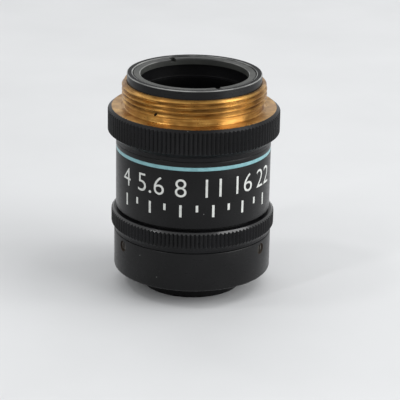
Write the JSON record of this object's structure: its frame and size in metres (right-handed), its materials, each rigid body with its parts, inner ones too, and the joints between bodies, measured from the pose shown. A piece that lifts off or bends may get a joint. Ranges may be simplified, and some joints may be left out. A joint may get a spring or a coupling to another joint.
{
  "type": "macro lens",
  "caption": "Small manual macro objective for a microscope thread: black barrel, brass mount ring, knurled aperture ring and a working iris.",
  "frame": {"origin": "centre of the front rim that the lens stands on, on the optical axis", "axes": "+Z along the optical axis towards the mount thread, -Y towards the lettered side"},
  "size_m": [0.0242, 0.0242, 0.0311],
  "materials": {
    "brass": "turned, lightly tarnished",
    "black_anodised": "satin black anodised",
    "matt_black": "matt black",
    "steel": "darkened",
    "blued_steel": "blued, matt",
    "coated_glass": "polished, single coated"
  },
  "bodies": {
    "barrel": {"mount_ring": "brass", "main_barrel": "black_anodised", "front_sleeve": "black_anodised", "grub_screws": "steel", "front_cell": "black_anodised", "front_retaining_ring": "matt_black", "front_element": "coated_glass", "front_spacer": "matt_black", "middle_element": "coated_glass", "iris_housing": "matt_black", "iris_cap": "matt_black", "rear_cell": "matt_black", "rear_flint_element": "coated_glass", "rear_crown_element": "coated_glass", "rear_cell_ring": "matt_black", "rear_baffle": "matt_black", "rear_retaining_ring": "black_anodised"},
    "aperture_control": {"aperture_ring": "black_anodised", "drive_screw": "steel", "cam_ring": "brass"},
    "blade_1": {"iris_blade_1": "blued_steel"},
    "blade_2": {"iris_blade_2": "blued_steel"},
    "blade_3": {"iris_blade_3": "blued_steel"},
    "blade_4": {"iris_blade_4": "blued_steel"},
    "blade_5": {"iris_blade_5": "blued_steel"},
    "blade_6": {"iris_blade_6": "blued_steel"},
    "blade_7": {"iris_blade_7": "blued_steel"},
    "blade_8": {"iris_blade_8": "blued_steel"}
  },
  "joints": [
    {"name": "aperture_turn", "type": "hinge", "parent": "barrel", "child": "aperture_control", "pos_m": [0, 0, 0.01], "axis": [0, 0, 1], "range_deg": [0, 54]},
    {"name": "blade_1_pivot", "type": "hinge", "parent": "barrel", "child": "blade_1", "pos_m": [0.0062, 0, 0.0088], "axis": [0, 0, 1], "range_deg": [0, 28]},
    {"name": "blade_2_pivot", "type": "hinge", "parent": "barrel", "child": "blade_2", "pos_m": [0.00438, 0.00438, 0.0088], "axis": [0, 0, 1], "range_deg": [0, 28]},
    {"name": "blade_3_pivot", "type": "hinge", "parent": "barrel", "child": "blade_3", "pos_m": [0, 0.0062, 0.0088], "axis": [0, 0, 1], "range_deg": [0, 28]},
    {"name": "blade_4_pivot", "type": "hinge", "parent": "barrel", "child": "blade_4", "pos_m": [-0.00438, 0.00438, 0.0088], "axis": [0, 0, 1], "range_deg": [0, 28]},
    {"name": "blade_5_pivot", "type": "hinge", "parent": "barrel", "child": "blade_5", "pos_m": [-0.0062, 0, 0.0088], "axis": [0, 0, 1], "range_deg": [0, 28]},
    {"name": "blade_6_pivot", "type": "hinge", "parent": "barrel", "child": "blade_6", "pos_m": [-0.00438, -0.00438, 0.0088], "axis": [0, 0, 1], "range_deg": [0, 28]},
    {"name": "blade_7_pivot", "type": "hinge", "parent": "barrel", "child": "blade_7", "pos_m": [0, -0.0062, 0.0088], "axis": [0, 0, 1], "range_deg": [0, 28]},
    {"name": "blade_8_pivot", "type": "hinge", "parent": "barrel", "child": "blade_8", "pos_m": [0.00438, -0.00438, 0.0088], "axis": [0, 0, 1], "range_deg": [0, 28]}
  ],
  "couplings": [
    {"joint": "blade_1_pivot", "follows": "aperture_turn", "ratio": 0.5},
    {"joint": "blade_2_pivot", "follows": "aperture_turn", "ratio": 0.5},
    {"joint": "blade_3_pivot", "follows": "aperture_turn", "ratio": 0.5},
    {"joint": "blade_4_pivot", "follows": "aperture_turn", "ratio": 0.5},
    {"joint": "blade_5_pivot", "follows": "aperture_turn", "ratio": 0.5},
    {"joint": "blade_6_pivot", "follows": "aperture_turn", "ratio": 0.5},
    {"joint": "blade_7_pivot", "follows": "aperture_turn", "ratio": 0.5},
    {"joint": "blade_8_pivot", "follows": "aperture_turn", "ratio": 0.5}
  ]
}
